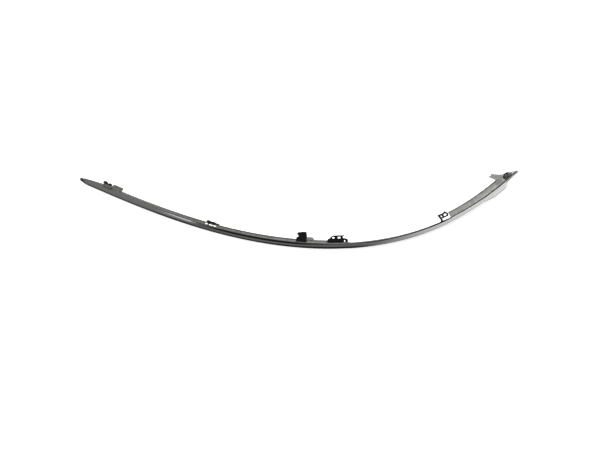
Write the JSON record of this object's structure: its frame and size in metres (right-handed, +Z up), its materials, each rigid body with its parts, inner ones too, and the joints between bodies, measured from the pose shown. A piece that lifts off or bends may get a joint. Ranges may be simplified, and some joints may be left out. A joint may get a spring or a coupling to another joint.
{
  "type": "bumper chrome trim",
  "caption": "Long curved bumper trim moulding with a crowned bright face, a rear flange, and black plastic clips and brackets along its back edge.",
  "frame": {"origin": "on the floor under the middle of the whole trim, halfway along and halfway through the depth of its bow", "axes": "+X from the inner tip to the outer tip, both tips on one line; +Y away from the bright face, into the bow; +Z up, from the lower lip to the flange"},
  "size_m": [0.7746, 0.1442, 0.0209],
  "materials": {
    "bright_plating": "polished face, satin flange",
    "black_plastic": "matte moulded"
  },
  "bodies": {
    "root": {"trim_strip": "bright_plating", "inner_end_clip": "black_plastic", "slot_clip": "black_plastic", "locator_clip": "black_plastic", "windowed_bracket": "black_plastic", "loop_bracket": "black_plastic", "outer_end_clip": "black_plastic"}
  },
  "joints": []
}
